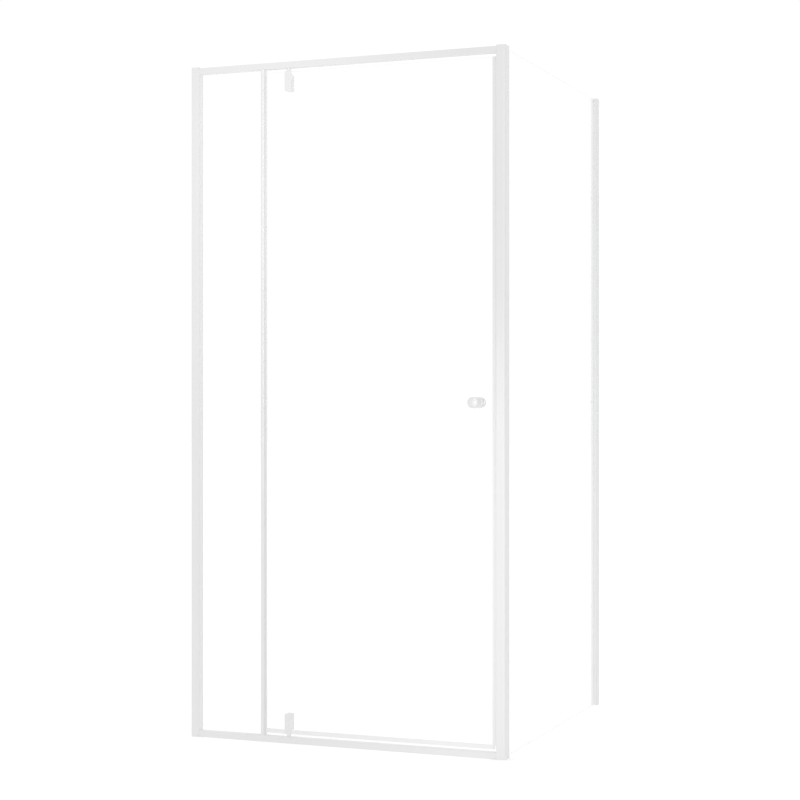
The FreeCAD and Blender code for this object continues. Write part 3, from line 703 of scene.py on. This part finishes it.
def curved_fin(shape, root_place, floor, drop, start, end):
    """A thin fin that leaves the floor of the grip at its root and curls back as it drops."""
    radius = drop / math.sin(fin_turn)
    root = shape.verts.new((start, root_place, floor))
    swing_point(shape, root, (start, root_place + radius, floor), fin_turn, fin_steps)
    arc = [edge for edge in shape.edges if edge.is_wire]
    made = bmesh.ops.extrude_edge_only(shape, edges=arc)
    push(shape, made, end - start)
    faces = [item for item in made["geom"] if isinstance(item, bmesh.types.BMFace)]
    bmesh.ops.recalc_face_normals(shape, faces=faces)
    bmesh.ops.solidify(shape, geom=faces, thickness=fin_thickness)


def drip_grip():
    """The channel that grips the bottom edge of the glass."""
    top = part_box("door_drip_seal")[1].z
    glass_low, glass_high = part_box("door_glass")
    front, back = glass_low.y - seal_wall, glass_high.y + seal_wall
    floor = glass_low.z - seal_wall
    outline = [(front, top), (front, floor), (back, floor), (back, top), (glass_high.y, top)]
    outline += [(glass_high.y, glass_low.z), (glass_low.y, glass_low.z), (glass_low.y, top)]
    shape = bmesh.new()
    for start, end in drip_spans():
        outline_bar(shape, outline, start, end)
    finish_piece("drip_seal_grip", shape, "door", "milky_seal", drip_grip_finish, "door_drip_seal")


def drip_lips():
    """The upright blade and the curved fin that throw water back over the sill."""
    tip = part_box("door_drip_seal")[0].z
    glass_low, glass_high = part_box("door_glass")
    middle = (glass_low.y + glass_high.y) / 2
    floor = glass_low.z - seal_wall
    half_root = blade_thickness / 2
    half_tip = half_root * blade_tip_share
    blade = [(middle - half_root, floor), (middle - half_tip, tip)]
    blade += [(middle + half_tip, tip), (middle + half_root, floor)]
    fin_root = glass_high.y + seal_wall - fin_thickness / 2
    shape = bmesh.new()
    for start, end in drip_spans():
        outline_bar(shape, blade, start, end)
        curved_fin(shape, fin_root, floor, floor - tip, start, end)
    finish_piece("drip_seal_lips", shape, "door", "clear_seal", drip_lip_finish, "door_drip_seal")


drip_grip()
drip_lips()


# Studio: white surroundings, a pale floor, a grey card, four soft lights and the camera
surroundings_strength = 1.03
floor_width = 60.0
floor_grain = (0.8, 2.0)
floor_tones = ((0.89, 0.89, 0.89), (0.9, 0.9, 0.9))
floor_glow = 0.13
card_place = (2.3, 0.25, 1.0)
card_height = 1.8
card_width = 0.6
card_grey = (0.3, 0.3, 0.3, 1)
matt_roughness = 0.9
half_metre = 0.5
lights = {
    "upper_wash_light": {
        "place": (0.14, -1.37, 1.6),
        "target": (-0.26, -0.45, 1.6),
        "width": 0.15,
        "height": 0.9,
        "beam": 70,
        "power": 0.24,
        "shine_only": False,
    },
    "mullion_light": {
        "place": (0.86, -2.11, 1.475),
        "target": (-0.26, -0.45, 1.4),
        "width": 0.32,
        "height": 1.85,
        "beam": 60,
        "power": 4.8,
        "shine_only": True,
    },
    "post_strip_light": {
        "place": (0.5, -1.4, 0.4),
        "target": (0.45, -0.45, 0.4),
        "width": 0.12,
        "height": 0.9,
        "beam": 60,
        "power": 0.19,
        "shine_only": False,
    },
    "knob_light": {
        "place": (0.23, -1.39, 0.93),
        "target": (0.373, -0.4745, 0.924),
        "width": 0.18,
        "height": 0.5,
        "beam": 60,
        "power": 0.19,
        "shine_only": True,
    },
}
camera_place = (1.9124, -4.88855, 0.9306)
camera_turn = math.radians(21.5133)
camera_reach = 100.0
lens_length = 81.263
sensor_width = 36.0


def white_surroundings():
    """Even white light from all round."""
    world = bpy.data.worlds.new("white_studio")
    world.use_nodes = True
    background = world.node_tree.nodes["Background"]
    background.inputs["Color"].default_value = WHITE
    background.inputs["Strength"].default_value = surroundings_strength
    bpy.context.scene.world = world


def stage_sheet(name, stand, finish):
    """A flat sheet of the studio, one metre square before its stand stretches, turns and moves it."""
    mesh = bpy.data.meshes.new(name)
    shape = bmesh.new()
    bmesh.ops.create_grid(shape, x_segments=1, y_segments=1, size=half_metre, matrix=stand)
    shape.to_mesh(mesh)
    shape.free()
    mesh.materials.append(finish)
    sheet = bpy.data.objects.new(name, mesh)
    bpy.context.scene.collection.objects.link(sheet)
    return sheet


def pale_floor():
    """A wide pale floor under the part, with a faint glow that keeps it white."""
    finish, tree, shader, place = start_finish("pale_floor")
    colour = tone(tree, grain(tree, place, *floor_grain), *floor_tones)
    tree.links.new(colour, shader.inputs["Base Color"])
    shader.inputs["Roughness"].default_value = matt_roughness
    shader.inputs["Emission Color"].default_value = WHITE
    shader.inputs["Emission Strength"].default_value = floor_glow
    stage_sheet("pale_floor", Matrix.Diagonal((floor_width, floor_width, 1, 1)), finish)


def grey_card():
    """An upright grey card to the right, out of the picture, that draws the edges of the white faces."""
    finish, _, shader, _ = start_finish("grey_card")
    shader.inputs["Base Color"].default_value = card_grey
    shader.inputs["Roughness"].default_value = matt_roughness
    stand = Matrix.Translation(card_place) @ Matrix.Rotation(quarter_turn, 4, "Y")
    stand = stand @ Matrix.Diagonal((card_height, card_width, 1, 1))
    card = stage_sheet("grey_card", stand, finish)
    card.visible_camera = False


def strip_light(name, place, target, width, height, beam, power, shine_only):
    """A tall soft light turned to a target, with its beam narrowed to an angle in degrees."""
    lamp = bpy.data.lights.new(name, "AREA")
    lamp.shape = "RECTANGLE"
    lamp.size = width
    lamp.size_y = height
    lamp.spread = math.radians(beam)
    lamp.energy = power
    light = bpy.data.objects.new(name, lamp)
    light.location = place
    light.rotation_euler = (Vector(target) - Vector(place)).to_track_quat("-Z", "Y").to_euler()
    light.visible_camera = False
    light.visible_diffuse = not shine_only
    bpy.context.scene.collection.objects.link(light)


def studio_camera():
    """The viewing angle of the picture: level, from the front right."""
    lens = bpy.data.cameras.new("studio_camera")
    lens.sensor_width = sensor_width
    lens.lens = lens_length
    lens.clip_end = camera_reach
    camera = bpy.data.objects.new("studio_camera", lens)
    camera.location = camera_place
    camera.rotation_euler = (quarter_turn, 0, camera_turn)
    bpy.context.scene.collection.objects.link(camera)
    bpy.context.scene.camera = camera


white_surroundings()
pale_floor()
grey_card()
for name, setting in lights.items():
    strip_light(name, **setting)
studio_camera()
bpy.context.scene.view_settings.view_transform = "Standard"
